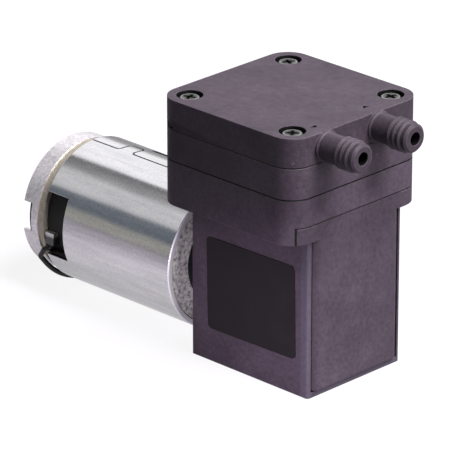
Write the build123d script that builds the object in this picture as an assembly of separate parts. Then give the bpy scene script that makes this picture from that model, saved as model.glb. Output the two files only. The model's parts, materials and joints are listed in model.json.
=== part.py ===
"""Diaphragm vacuum pump: a moulded pump head on a crankcase, driven by a direct-current motor.

Frame: millimetres, +Z up, +X the way the two hose ports point, the motor lies along -X.
The origin is on the pump head's vertical centreline, on the bottom face of the crankcase.
The crank stands at bottom dead centre.
"""
from build123d import *
import math
import os

# ---- pump head stack ----
HEAD_W = 46.7            # side of the square head
CORNER_R = 6.2           # its rounded corners
BODY_H = 42.2            # crankcase box, from its bottom face to the skirt
SKIRT_H = 11.8           # skirt that carries the head
VALVE_T = 8.4            # valve plate
COVER_T = 7.7            # head cover
SEAM = 0.25              # bevel where the stacked plates meet
SCREW_PITCH = 35.1       # square of the four head screws
NOTCH = (2.6, 0.9, 1.6)  # locating notch in the head cover: length, depth, height

# ---- screws ----
SCREW_R = 1.5
SCREW_HEAD_R = 2.9
SCREW_HEAD_T = 2.1
SCREW_HEAD_BEVEL = 0.6
SCREW_FIT = 0.2          # radial clearance of a screw's shank in a plate
THREAD_FIT = 0.02        # radial clearance of a screw's shank in its tapped hole
THREAD_L = 8.0           # how far the head screws reach into the crankcase
DRIVE_W = 0.8            # cross recess: width of an arm
DRIVE_L = 3.4            # and length over both arms
DRIVE_DEPTH = 1.1
COUNTERBORE_R = 3.4
COUNTERBORE_T = 2.6
HOLE_SPARE = 0.8         # depth of a blind hole past its screw

# ---- hose ports, moulded on the head cover ----
PORT_TIP = 12.25         # how far the ports stand out of the head
OUTLET_Y = -11.75
INLET_Y = 6.85
PORT_DROP = 3.95         # port axis below the top face
PORT_R = 3.7
PORT_BORE_R = 1.75
COLLAR_R = 4.0
COLLAR_L = 0.6
RIDGE_R = 4.12
RIDGE_PITCH = 1.65
RIDGE_L = 1.15
RIDGES = 3
PORT_END = 1.8           # plain end in front of the last ridge, from its rear flank to the tip
PORT_BEVEL = 0.55
MARK = (1.4, 2.5, 0.5)   # flow mark: length, width, depth
MARK_SETBACK = 4.25      # base of a flow mark behind the front face

# ---- crankcase ----
BOX_BACK = 17.9          # rear face behind the head's centreline
RIM_SETBACK = 0.85       # front rim behind the head's front face
BOX_W = 33.4
WALL = 2.4
BOX_R = 0.6              # upright rear corners
LIP_T = 1.1              # rim around the front cover
LIP_R = 0.8
CAVITY_TOP = 38.6        # flat roof of the crank chamber
BORE_R = 14.4            # round opening from the crank chamber up to the diaphragm
CORE_W = 3.4             # cored pockets under the skirt
CORE_L = 24.0
CORE_H = 8.0
SPIGOT_R = 12.0          # round rear boss that meets the motor

# ---- front cover ----
FLANGE_T = 1.25
FLANGE_H = 4.4
PANEL_BACK = 3.75        # panel thickness
PANEL_R = 2.3
PANEL_FOOT = 1.3
PANEL_GAP = 0.15
REGISTER_T = 1.3         # wall of the register that enters the crankcase
REGISTER_L = 3.0
COVER_RIB_T = 1.2

# ---- label ----
LABEL_L = 30.4
LABEL_H = 24.8
LABEL_T = 0.2
LABEL_R = 1.3
LABEL_SETBACK = 19.55    # middle of the label behind the crankcase's front rim
LABEL_Z = 21.6
LABEL_TILT = 1.0         # degrees

# ---- diaphragm and crank drive ----
ECCENTRIC = 2.0          # half the stroke
DECK_DROP = 1.4          # underside of the diaphragm's middle below the deck at mid stroke
DIAPHRAGM_T = 1.4
DIAPHRAGM_R = 19.5
CLAMP_T = 1.6
PAD_R = 8.0
PAD_T = 2.0
RETAINER_R = 8.5
RETAINER_T = 1.6
CHAMBER_R = 15.0
CHAMBER_SPARE = 0.4      # retainer to chamber roof at top dead centre
ROD_T = 5.0
ROD_WALL = 2.0
SHANK_W = 8.4
SHANK_TOP_W = 6.4
SHANK_WEB = 2.2
ECCENTRIC_R = 5.0
BEARING_R = 9.5
RACE_T = 1.3
BEARING_SEAL_GAP = 0.08
SHOULDER_R = 6.0
SHOULDER_L = 1.5
WEIGHT_R = 12.0
WEIGHT_T = 4.2
SET_SCREW_R = 1.5
SET_SCREW_L = 3.6
HEX_R = 0.8              # corner radius of its hexagon socket

# ---- valves ----
VALVE_Y = 7.0
VALVE_DISC_R = 3.6
VALVE_DISC_T = 0.8
VALVE_LIFT = 0.6
VALVE_STEM_R = 0.9
VALVE_BULB_R = 1.7
VALVE_BULB_T = 0.9
VALVE_WEB = 1.4
VALVE_POCKET_GAP = 0.6
VALVE_SPARE = 0.2        # past a valve's travel, and round the flow holes
FLOW_HOLES = 6
FLOW_HOLE_R = 0.5
FLOW_CIRCLE_R = 2.3
MANIFOLD_H = 5.6
MANIFOLD_FRONT = 12.5
MANIFOLD_BACK = 5.4
MANIFOLD_DIVIDER = 5.2
MANIFOLD_W = 12.2
GASKET_T = 1.0
GASKET_W = 2.0

# ---- motor ----
AXIS_Z = 20.0
CAN_FRONT = 24.0         # motor front face behind the head's centreline
CAN_R = 17.9
CAN_WALL = 1.6
CAN_L = 49.2
PILOT_R = 6.4
PILOT_L = 3.4
PILOT_FIT = 0.1
MOTOR_TURN = 2.6         # the motor's rear end is turned this much about its axis, in degrees
RING_LIP = 0.25          # flux ring ahead of the can's front face
BARE_L = 2.95            # bare rear end of the can
GROOVE_L = 0.9           # groove in the can in front of its bare end
GROOVE_T = 0.4
RING_T = 1.35
RING_BEVEL = 0.3
SEAM_GAP = 0.4           # butt seam of the rolled flux ring
SEAM_Y = -0.9            # the seam runs beside the crest
KEY_AT = 34.1            # middle of the seam's key behind the ring's front edge
KEY_ROOT = 4.6
KEY_HEAD = 4.8
KEY_REACH = 4.9
KEY_R = 1.2
WINDOW_H = 17.2          # brush windows in both sides of the motor
WINDOW_L = 7.9
SLOT_BACK = 27.1         # slot in the flux ring behind its front edge
SLOT_L = 8.4
SLOT_W = 2.0
SLOT_ANGLE = 20.0        # from the crest towards +Y
BAND_R = 18.2
BAND_WALL = 0.9
BAND_L = 5.2
BAND_NOTCH_W = 7.7
BAND_NOTCH_L = 3.0
BELL_RECESS = 1.6        # end bell's rear face inside the band
BELL_WALL = 1.8          # spigot of the end bell
SHAFT_R = 1.6
BUSH_R = 3.6
BUSH_L = 5.0
RUN_FIT = 0.03
MAGNET_T = 2.7
MAGNET_ARC = 130.0
MAGNET_L = 33.0
MAGNET_SETBACK = 2.0     # front of the magnets behind the can's floor
AIR_GAP = 0.5
CORE_LEN = 29.0
CORE_BACK = 4.6          # can floor to armature core
POLES = 5
SLOT_MOUTH = 1.6
TOOTH_W = 4.2
TIP_T = 1.5
HUB_R = 5.2
COIL_T = 3.2
COIL_FIT = 0.3
COIL_BEVEL = 1.0
COMMUTATOR_R = 4.4
COMMUTATOR_L = 8.0
COMMUTATOR_CUT = 0.5
BRUSH_W = 3.6
BRUSH_GAP = 0.05
BRUSH_L = 4.2
BRUSH_ARM_T = 0.5
TERMINAL_W = 4.8
TERMINAL_T = 0.8
TERMINAL_L = 9.0
TERMINAL_Y = 10.5
LUG_L = 3.0              # brush lug: along the motor
LUG_H = 3.2
LUG_DROP = 2.6           # its upper face below the motor's axis
LUG_SEAT = 1.2           # depth in the end bell
LUG_OUT = 1.3            # and how far it stands out of it
LUG_SETBACK = 0.7        # lug behind the window's rear edge

# ---- ground lead ----
LEAD_R = 0.675
LEAD_OFF = 0.05          # lead clear of the can
LEAD_END_ANGLE = 205.0   # where it is soldered, from -Y downwards round the motor
LEAD_ROOT_R = 17.0       # distance of its root from the motor's axis
LEAD_OUT = 24.0          # where it comes out of the window
LEAD_WRAP = 40.0         # and where it turns round under the motor
LEAD_AHEAD = 0.3         # it crosses the band's edge this far ahead of the can's end
LEAD_ARCH = 0.6          # and this far off the band
LEAD_SLACK = 0.22        # and this far off the can half-way round
LEAD_STRAIGHT = 3.0
LEAD_BEND_R = 1.0
SOLDER_R = 1.1

# ---- planes and places worked out from the sizes above ----
HALF = HEAD_W / 2
FACE_X = HALF
SKIRT_Z = BODY_H
DECK_Z = SKIRT_Z + SKIRT_H
COVER_Z = DECK_Z + VALVE_T
TOP_Z = COVER_Z + COVER_T
PORT_Z = TOP_Z - PORT_DROP
TIP_X = FACE_X + PORT_TIP
FLANGE_X = FACE_X - FLANGE_T
LEDGE_X = FACE_X - PANEL_BACK
BOX_FRONT = FACE_X - RIM_SETBACK
BOX_HALF = BOX_W / 2
CAVITY_HALF = BOX_HALF - WALL
PANEL_HALF = BOX_HALF - LIP_T - PANEL_GAP
PIN_Z = AXIS_Z - ECCENTRIC
PAD_Z = DECK_Z - DECK_DROP - ECCENTRIC
RETAINER_Z = PAD_Z + DIAPHRAGM_T
ROOF_Z = RETAINER_Z + RETAINER_T + 2 * ECCENTRIC + CHAMBER_SPARE
WEB_Z = ROOF_Z + VALVE_DISC_T + VALVE_LIFT + VALVE_SPARE
WEB_TOP_Z = WEB_Z + VALVE_WEB
LABEL_X = BOX_FRONT - LABEL_SETBACK
RING_R = CAN_R + RING_T
RING_FRONT = -CAN_FRONT + RING_LIP
CAN_REAR = -CAN_FRONT - CAN_L
RING_REAR = CAN_REAR + BARE_L
GROOVE_X = RING_REAR - GROOVE_L
WINDOW_X = RING_REAR + WINDOW_L
BAND_REAR = CAN_REAR - BAND_L
BELL_REAR = BAND_REAR + BELL_RECESS
BELL_FLOOR = BELL_REAR + BELL_WALL
BELL_R = BAND_R - BAND_WALL
LUG_X = GROOVE_X + LUG_SETBACK
CAN_BORE = CAN_R - CAN_WALL
MAGNET_BORE = CAN_BORE - MAGNET_T
ARMATURE_R = MAGNET_BORE - AIR_GAP
CORE_X = -CAN_FRONT - CAN_WALL - CORE_BACK
CORE_REAR = CORE_X - CORE_LEN
COMMUTATOR_X = CORE_REAR - COIL_T - 1.2
ECCENTRIC_X = ROD_T / 2
SHOULDER_X = -ROD_T / 2
WEIGHT_X = SHOULDER_X - SHOULDER_L
SHAFT_FRONT = ECCENTRIC_X
SHAFT_REAR = BELL_REAR - 0.6
MOTOR_SCREW_Y = 8.6
CORNERS = [(x, y) for x in (-SCREW_PITCH / 2, SCREW_PITCH / 2) for y in (-SCREW_PITCH / 2, SCREW_PITCH / 2)]
MOTOR_AXIS = Axis((0, 0, AXIS_Z), (1, 0, 0))
LEAD_X = (CAN_REAR + RING_REAR) / 2
LEAD_PATH_R = CAN_R + LEAD_R + LEAD_OFF


# ---- shapes used throughout ----
def block(x0, x1, y0, y1, z0, z1):
    """A box between two corners."""
    return Pos((x0 + x1) / 2, (y0 + y1) / 2, (z0 + z1) / 2) * Box(x1 - x0, y1 - y0, z1 - z0)


def round_x(radius, x0, x1, y=0.0, z=AXIS_Z):
    """A cylinder along X."""
    return Pos((x0 + x1) / 2, y, z) * Rot(0, 90, 0) * Cylinder(radius, x1 - x0)


def round_z(radius, z0, z1, x=0.0, y=0.0):
    """An upright cylinder."""
    return Pos(x, y, (z0 + z1) / 2) * Cylinder(radius, z1 - z0)


def head_slab(z0, z1):
    """A slab with the outline of the pump head."""
    return extrude(Pos(0, 0, z0) * RectangleRounded(HEAD_W, HEAD_W, CORNER_R), z1 - z0)


def turned(profile, y=0.0, z=AXIS_Z):
    """A solid of revolution about a line along X, from points (x, radius)."""
    face = Plane.XZ * make_face(Polyline(*profile, close=True))
    return revolve(Pos(0, y, z) * face, Axis((0, y, z), (1, 0, 0)))


def around_motor(shape, degrees):
    """The shape turned about the motor's axis."""
    return Pos(0, 0, AXIS_Z) * Rot(degrees, 0, 0) * Pos(0, 0, -AXIS_Z) * shape


def pan_screw(length):
    """An upright pan-head screw with a cross recess; its head seats at the origin."""
    head = Cylinder(SCREW_HEAD_R, SCREW_HEAD_T, align=(Align.CENTER, Align.CENTER, Align.MIN))
    head = chamfer(head.edges().sort_by(Axis.Z)[-1], SCREW_HEAD_BEVEL)
    shank = Cylinder(SCREW_R, length, align=(Align.CENTER, Align.CENTER, Align.MAX))
    arm = Pos(0, 0, SCREW_HEAD_T - DRIVE_DEPTH / 2) * Box(DRIVE_L, DRIVE_W, DRIVE_DEPTH)
    return head + shank - arm - Rot(0, 0, 90) * arm


def screw_holes(radius, z0, z1):
    """The four upright holes of the head screws."""
    return [round_z(radius, z0, z1, x, y) for x, y in CORNERS]


# ---- pump head ----
def hose_port(y):
    """One hose port: collar, plain neck, ridges and a bevelled end."""
    neck = PORT_R - PORT_BEVEL
    profile = [(FACE_X - WALL, 0), (FACE_X - WALL, neck), (FACE_X, neck), (FACE_X, COLLAR_R)]
    profile.append((FACE_X + COLLAR_L, COLLAR_R))
    profile.append((FACE_X + COLLAR_L + (COLLAR_R - PORT_R), PORT_R))
    first = TIP_X - PORT_END - RIDGES * RIDGE_PITCH + (RIDGE_PITCH - RIDGE_L)
    for i in range(RIDGES):
        x = first + i * RIDGE_PITCH
        profile += [(x, PORT_R), (x + RIDGE_L * 0.3, RIDGE_R), (x + RIDGE_L * 0.65, RIDGE_R), (x + RIDGE_L, PORT_R)]
    profile += [(TIP_X - PORT_BEVEL, PORT_R), (TIP_X, PORT_R - PORT_BEVEL), (TIP_X, 0)]
    return turned(profile, y, PORT_Z)


def flow_mark(y, points_out):
    """A small triangular recess in the top face behind a port."""
    length, width, depth = MARK
    nose = length / 2 if points_out else -length / 2
    triangle = make_face(Polyline((nose, 0), (-nose, width / 2), (-nose, -width / 2), close=True))
    return extrude(Pos(FACE_X - MARK_SETBACK + nose / 2, y, TOP_Z - depth) * triangle, depth)


def manifold(side, grow=0.0):
    """Plan outline of a cover chamber over a valve; side is -1 for the outlet and 1 for the inlet."""
    length = MANIFOLD_FRONT + MANIFOLD_BACK + 2 * grow
    centre = side * (MANIFOLD_DIVIDER + MANIFOLD_W) / 2
    outline = RectangleRounded(length, MANIFOLD_W + 2 * grow, VALVE_WEB)
    return Pos((MANIFOLD_FRONT - MANIFOLD_BACK) / 2, centre) * outline


def head_cover():
    """The top cover with its two ports, chambers, counterbores and flow marks."""
    body = head_slab(COVER_Z, TOP_Z) + hose_port(OUTLET_Y) + hose_port(INLET_Y)
    for side, y in ((-1, OUTLET_Y), (1, INLET_Y)):
        body -= extrude(Pos(0, 0, COVER_Z) * manifold(side), MANIFOLD_H)
        body -= round_x(PORT_BORE_R, MANIFOLD_FRONT - 1, TIP_X, y, PORT_Z)
    body -= screw_holes(SCREW_R + SCREW_FIT, COVER_Z, TOP_Z)
    body -= screw_holes(COUNTERBORE_R, TOP_Z - COUNTERBORE_T, TOP_Z)
    body -= [flow_mark(OUTLET_Y, True), flow_mark(INLET_Y, False)]
    length, depth, height = NOTCH
    notch_x = -HALF + CORNER_R / 2
    body -= block(notch_x, notch_x + length, -HALF, -HALF + depth, COVER_Z, COVER_Z + height)
    return body


def head_screws():
    """Four pan-head screws that clamp the stack to the crankcase."""
    seat = TOP_Z - COUNTERBORE_T
    screw = pan_screw(seat - DECK_Z + THREAD_L)
    return [Pos(x, y, seat) * Rot(0, 0, turn) * screw for (x, y), turn in zip(CORNERS, (20, 65, 40, 80))]


def gasket_outline():
    """Plan of the head gasket: one sheet with a window for each chamber."""
    length = MANIFOLD_FRONT + MANIFOLD_BACK + 2 * GASKET_W
    width = MANIFOLD_DIVIDER + 2 * MANIFOLD_W + 2 * GASKET_W
    sheet = Pos((MANIFOLD_FRONT - MANIFOLD_BACK) / 2, 0) * RectangleRounded(length, width, GASKET_W)
    return sheet - manifold(-1) - manifold(1)


def head_gasket():
    """Rubber sheet let into the top of the valve plate."""
    return extrude(Pos(0, 0, COVER_Z - GASKET_T) * gasket_outline(), GASKET_T)


def valve_plate():
    """Valve plate with the pump chamber below and two valve seats."""
    plate = head_slab(DECK_Z, COVER_Z)
    rims = plate.faces().sort_by(Axis.Z)[0].edges() + plate.faces().sort_by(Axis.Z)[-1].edges()
    plate = chamfer(rims, SEAM)
    plate -= round_z(CHAMBER_R, DECK_Z, ROOF_Z)
    plate -= head_gasket()
    wide = VALVE_DISC_R + VALVE_POCKET_GAP
    narrow = FLOW_CIRCLE_R + FLOW_HOLE_R + VALVE_SPARE
    for y, below, above in ((VALVE_Y, wide, narrow), (-VALVE_Y, narrow, wide)):
        plate -= round_z(below, ROOF_Z, WEB_Z, 0, y)
        plate -= round_z(above, WEB_TOP_Z, COVER_Z, 0, y)
        plate -= round_z(VALVE_STEM_R + RUN_FIT * 2, WEB_Z, WEB_TOP_Z, 0, y)
        holes = PolarLocations(FLOW_CIRCLE_R, FLOW_HOLES) * Cylinder(FLOW_HOLE_R, VALVE_WEB)
        plate -= [Pos(0, y, (WEB_Z + WEB_TOP_Z) / 2) * hole for hole in holes]
    plate -= screw_holes(SCREW_R + SCREW_FIT, DECK_Z, COVER_Z)
    return plate


def umbrella_valve():
    """A rubber umbrella valve with its disc seated at the origin and its stem hanging down."""
    reach = VALVE_WEB + VALVE_LIFT
    profile = [(0, 0), (0, VALVE_DISC_T), (VALVE_DISC_R * 0.7, VALVE_DISC_T), (VALVE_DISC_R, VALVE_DISC_T / 2),
               (VALVE_DISC_R, 0), (VALVE_STEM_R, 0), (VALVE_STEM_R, -reach), (VALVE_BULB_R, -reach),
               (VALVE_STEM_R, -reach - VALVE_BULB_T), (0, -reach - VALVE_BULB_T)]
    return revolve(Plane.XZ * make_face(Polyline(*profile, close=True)), Axis.Z)


def inlet_valve():
    """Umbrella under its web: suction pulls it down into the chamber."""
    return Pos(0, VALVE_Y, WEB_Z) * Rot(180, 0, 0) * umbrella_valve()


def outlet_valve():
    """Umbrella on top of its web: pressure lifts it."""
    return Pos(0, -VALVE_Y, WEB_TOP_Z) * umbrella_valve()


# ---- crankcase and its front cover ----
def crank_chamber():
    """The hollow of the crankcase: a box open to the front, then a bore up to the diaphragm."""
    hollow = block(-BOX_BACK + WALL, BOX_FRONT, -CAVITY_HALF, CAVITY_HALF, WALL, CAVITY_TOP)
    hollow += round_z(BORE_R, CAVITY_TOP - 2, DECK_Z)
    return hollow + round_z(DIAPHRAGM_R, DECK_Z - CLAMP_T, DECK_Z)


def cover_pocket():
    """The room that the front cover takes, with its fitting gap."""
    half = PANEL_HALF + PANEL_GAP
    panel = block(LEDGE_X, FACE_X, -half, half, PANEL_FOOT, SKIRT_Z + FLANGE_H)
    return panel + block(FLANGE_X, FACE_X, -HALF, HALF, SKIRT_Z, SKIRT_Z + FLANGE_H)


def skirt_cores():
    """Cored pockets under the skirt on three sides."""
    middle = (HALF + BOX_HALF) / 2
    rear = (HALF + BOX_BACK) / 2
    side = Pos(0, middle, SKIRT_Z + CORE_H / 2) * Box(CORE_L, CORE_W, CORE_H)
    back = Pos(-rear, 0, SKIRT_Z + CORE_H / 2) * Box(CORE_W, CORE_L, CORE_H)
    return [side, mirror(side, Plane.XZ), back]


def crankcase():
    """Moulded crankcase: box, skirt, rear boss for the motor and an open front."""
    box = block(-BOX_BACK, BOX_FRONT, -BOX_HALF, BOX_HALF, 0, SKIRT_Z)
    uprights = box.edges().filter_by(Axis.Z)
    box = fillet(uprights.group_by(Axis.X)[0], BOX_R)
    box = fillet(box.edges().filter_by(Axis.Z).group_by(Axis.X)[-1], LIP_R)
    body = box + head_slab(SKIRT_Z, DECK_Z)
    body += round_x(SPIGOT_R, -CAN_FRONT, -BOX_BACK)
    body -= crank_chamber()
    body -= cover_pocket()
    body -= skirt_cores()
    body -= round_x(PILOT_R + PILOT_FIT, -CAN_FRONT, -CAN_FRONT + PILOT_L + PILOT_FIT)
    body -= round_x(BUSH_R, -CAN_FRONT, -BOX_BACK + WALL)
    body -= screw_holes(SCREW_R + THREAD_FIT, DECK_Z - THREAD_L - HOLE_SPARE, DECK_Z)
    for y in (-MOTOR_SCREW_Y, MOTOR_SCREW_Y):
        body -= round_x(SCREW_R + SCREW_FIT, -CAN_FRONT, -BOX_BACK + WALL, y)
    return body


def front_cover():
    """T-shaped cover: a flange flush with the skirt and a panel that closes the crankcase."""
    half = PANEL_HALF
    foot = PANEL_FOOT + PANEL_GAP
    panel = block(LEDGE_X, FACE_X, -half, half, foot, SKIRT_Z)
    panel = fillet(panel.edges().filter_by(Axis.Z).group_by(Axis.X)[-1], PANEL_R)
    panel = fillet(panel.faces().sort_by(Axis.X)[-1].edges().sort_by(Axis.Z)[0], PANEL_FOOT / 2)
    stem = block(LEDGE_X, FACE_X, -half, half, SKIRT_Z, SKIRT_Z + FLANGE_H)
    flange = head_slab(SKIRT_Z, SKIRT_Z + FLANGE_H)
    flange &= block(FLANGE_X, FACE_X, -HALF, HALF, SKIRT_Z, SKIRT_Z + FLANGE_H)
    top_edges = flange.faces().sort_by(Axis.Z)[-1].edges()
    flange = chamfer(top_edges.filter_by(Axis.Y).sort_by(Axis.X)[-1], SEAM)
    inner = CAVITY_HALF - PANEL_GAP
    low = WALL + PANEL_GAP
    high = CAVITY_TOP - PANEL_GAP
    register = block(LEDGE_X - REGISTER_L, LEDGE_X, -inner, inner, low, high)
    register -= block(LEDGE_X - REGISTER_L, LEDGE_X, REGISTER_T - inner, inner - REGISTER_T,
                      low + REGISTER_T, high - REGISTER_T)
    ribs = [block(LEDGE_X - REGISTER_L / 2, LEDGE_X, REGISTER_T - inner, inner - REGISTER_T,
                  z - COVER_RIB_T / 2, z + COVER_RIB_T / 2)
            for z in (low + (high - low) / 3, low + (high - low) * 2 / 3)]
    return panel + stem + flange + register + ribs


def label_plate():
    """Blank label on the crankcase's side."""
    sheet = extrude(RectangleRounded(LABEL_L, LABEL_H, LABEL_R), LABEL_T)
    return Pos(LABEL_X, -BOX_HALF, LABEL_Z) * Rot(90, 0, 0) * Rot(0, 0, LABEL_TILT) * sheet


# ---- diaphragm and rod ----
def diaphragm():
    """Rubber diaphragm with a clamped rim and a sloping web, drawn at bottom dead centre."""
    middle = PAD_R + 1
    low, high = PAD_Z, PAD_Z + DIAPHRAGM_T
    rest, top = DECK_Z - CLAMP_T, DECK_Z
    outline = Polyline((0, low), (middle, low), (BORE_R, rest), (DIAPHRAGM_R, rest), (DIAPHRAGM_R, top),
                       (BORE_R, top), (middle, high), (0, high), close=True)
    solid = revolve(Plane.XZ * make_face(outline), Axis.Z)
    return solid - round_z(SCREW_R, low, high)


def diaphragm_retainer():
    """Clamping disc over the diaphragm's middle, countersunk for its screw."""
    disc = round_z(RETAINER_R, RETAINER_Z, RETAINER_Z + RETAINER_T)
    disc = chamfer(disc.edges().sort_by(Axis.Z)[-1], RETAINER_T / 3)
    return disc - retainer_cone() - round_z(SCREW_R, RETAINER_Z, RETAINER_Z + RETAINER_T)


def retainer_cone():
    """The countersunk head of the retainer screw."""
    cone = Cone(SCREW_R, SCREW_HEAD_R, RETAINER_T)
    return Pos(0, 0, RETAINER_Z + RETAINER_T / 2) * cone


def retainer_screw():
    """Countersunk screw from the retainer into the rod."""
    top = RETAINER_Z + RETAINER_T
    screw = retainer_cone() + round_z(SCREW_R, PAD_Z - THREAD_L, RETAINER_Z)
    arm = Pos(0, 0, top - DRIVE_DEPTH / 2) * Box(DRIVE_L, DRIVE_W, DRIVE_DEPTH)
    return screw - arm - Rot(0, 0, 90) * arm


def connecting_rod():
    """Rod with a big end round the bearing, a waisted shank and the diaphragm's pad."""
    ring = BEARING_R + ROD_WALL
    half_t = ROD_T / 2
    pad_low = PAD_Z - PAD_T
    foot = PIN_Z + BEARING_R
    shank = Polyline((-SHANK_W / 2, foot), (SHANK_W / 2, foot), (SHANK_TOP_W / 2, pad_low),
                     (-SHANK_TOP_W / 2, pad_low), close=True)
    side = Plane.YZ * make_face(shank)
    body = extrude(Pos(-half_t, 0, 0) * side, ROD_T) + round_x(ring, -half_t, half_t, 0, PIN_Z)
    for face in (-1, 1):
        pocket = Box((ROD_T - SHANK_WEB) / 2, SHANK_TOP_W - 2 * REGISTER_T, pad_low - foot - 2 * ROD_WALL - THREAD_L)
        x = face * (ROD_T + SHANK_WEB) / 4
        z = (foot + ROD_WALL + pad_low - ROD_WALL - THREAD_L) / 2
        body -= Pos(x, 0, z) * pocket
    body += round_z(PAD_R, pad_low, PAD_Z)
    body -= round_x(BEARING_R, -half_t, half_t, 0, PIN_Z)
    return body - round_z(SCREW_R, PAD_Z - THREAD_L, PAD_Z)


def bearing_outer():
    """Outer race of the rod's sealed bearing, with its two shields."""
    half = ROD_T / 2
    race = BEARING_R - RACE_T
    seal = ECCENTRIC_R + RACE_T + BEARING_SEAL_GAP
    body = round_x(BEARING_R, -half, half, 0, PIN_Z) - round_x(race, -half, half, 0, PIN_Z)
    shield = round_x(race, 0, RACE_T / 2, 0, PIN_Z) - round_x(seal, 0, RACE_T / 2, 0, PIN_Z)
    return body + Pos(half - RACE_T, 0, 0) * shield + Pos(-half + RACE_T / 2, 0, 0) * shield


def bearing_inner():
    """Inner race of the rod's bearing."""
    half = ROD_T / 2
    return round_x(ECCENTRIC_R + RACE_T, -half, half, 0, PIN_Z) - round_x(ECCENTRIC_R, -half, half, 0, PIN_Z)


def crank_eccentric():
    """Eccentric with its bearing shoulder and the balance weight opposite the crank pin."""
    body = round_x(ECCENTRIC_R, SHOULDER_X, ECCENTRIC_X, 0, PIN_Z)
    body += round_x(SHOULDER_R, WEIGHT_X, SHOULDER_X, 0, PIN_Z)
    weight = round_x(WEIGHT_R, WEIGHT_X - WEIGHT_T, WEIGHT_X)
    weight &= block(WEIGHT_X - WEIGHT_T, WEIGHT_X, -WEIGHT_R, WEIGHT_R, AXIS_Z - ECCENTRIC, AXIS_Z + WEIGHT_R)
    body += weight + round_x(SHOULDER_R, WEIGHT_X - WEIGHT_T, WEIGHT_X)
    body -= round_x(SHAFT_R, WEIGHT_X - WEIGHT_T, ECCENTRIC_X)
    return body - set_screw_hole()


def set_screw_hole():
    """Radial tapped hole in the hub under the weight."""
    return round_z(SET_SCREW_R, AXIS_Z - 2 * SHOULDER_R, AXIS_Z, WEIGHT_X - WEIGHT_T / 2, 0)


def eccentric_set_screw():
    """Set screw that holds the eccentric to the shaft."""
    top = AXIS_Z - SHAFT_R
    screw = round_z(SET_SCREW_R, top - SET_SCREW_L, top, WEIGHT_X - WEIGHT_T / 2, 0)
    socket = extrude(Pos(WEIGHT_X - WEIGHT_T / 2, 0, top - SET_SCREW_L) * RegularPolygon(HEX_R, 6), DRIVE_DEPTH)
    return screw - socket


# ---- motor ----
def side_windows(shape_r, x0, x1):
    """Bars across both sides of the motor that cut its brush windows."""
    low, high = AXIS_Z - WINDOW_H / 2, AXIS_Z + WINDOW_H / 2
    bars = [block(x0, x1, side * shape_r / 2 - shape_r / 2, side * shape_r / 2 + shape_r / 2, low, high)
            for side in (-1, 1)]
    return [around_motor(bar, -MOTOR_TURN) for bar in bars]


def motor_can():
    """Drawn steel can with a front pilot and brush windows behind the flux ring's edge."""
    front = -CAN_FRONT
    profile = [(front + PILOT_L, BUSH_R), (front + PILOT_L, PILOT_R), (front, PILOT_R), (front, CAN_R),
               (RING_REAR, CAN_R), (RING_REAR, CAN_R - GROOVE_T), (GROOVE_X, CAN_R - GROOVE_T),
               (GROOVE_X, CAN_R), (CAN_REAR, CAN_R), (CAN_REAR, CAN_BORE), (front - CAN_WALL, CAN_BORE), (front - CAN_WALL, BUSH_R)]
    body = turned(profile)
    body -= side_windows(RING_R, GROOVE_X, WINDOW_X)
    for y in (-MOTOR_SCREW_Y, MOTOR_SCREW_Y):
        body -= round_x(SCREW_R + THREAD_FIT, front - CAN_WALL, front, y)
    return body


def motor_screws():
    """Two screws from inside the crankcase into the motor's front."""
    seat = -BOX_BACK + WALL
    screw = pan_screw(CAN_FRONT + seat + CAN_WALL)
    return [Pos(seat, y, AXIS_Z) * Rot(0, 90, 0) * screw for y in (-MOTOR_SCREW_Y, MOTOR_SCREW_Y)]


def seam_cut():
    """The flux ring's butt seam near its crest, which runs round a dovetail key."""
    key_x = RING_FRONT - KEY_AT
    key_y = SEAM_Y + KEY_REACH
    root, head = KEY_ROOT / 2, KEY_HEAD / 2
    line = FilletPolyline((RING_REAR - 1, SEAM_Y), (key_x - root, SEAM_Y), (key_x - head, key_y),
                          (key_x + head, key_y), (key_x + root, SEAM_Y), (RING_FRONT + 1, SEAM_Y), radius=KEY_R)
    return extrude(Pos(0, 0, AXIS_Z) * make_face(offset(line, SEAM_GAP / 2)), RING_R)


def flux_ring():
    """Rolled steel flux ring round the can, with its seam, its slot and a notch over each window."""
    outer = round_x(RING_R, RING_REAR, RING_FRONT)
    outer = chamfer(outer.edges().filter_by(GeomType.CIRCLE), RING_BEVEL)
    body = outer - round_x(CAN_R, RING_REAR, RING_FRONT)
    body -= side_windows(RING_R + 1, RING_REAR, WINDOW_X)
    body -= seam_cut()
    slot_x = RING_FRONT - SLOT_BACK
    slot = block(slot_x - SLOT_L / 2, slot_x + SLOT_L / 2, -SLOT_W / 2, SLOT_W / 2, AXIS_Z + CAN_BORE, AXIS_Z + RING_R + 1)
    return body - around_motor(slot, -SLOT_ANGLE)


def rear_band():
    """Steel band round the end bell, with a notch on both sides of its rear edge."""
    body = round_x(BAND_R, BAND_REAR, CAN_REAR) - round_x(BELL_R, BAND_REAR, CAN_REAR)
    low, high = AXIS_Z - BAND_NOTCH_W / 2, AXIS_Z + BAND_NOTCH_W / 2
    notches = block(BAND_REAR, BAND_REAR + BAND_NOTCH_L, -BAND_R, BAND_R, low, high)
    return body - around_motor(notches, -MOTOR_TURN)


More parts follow.
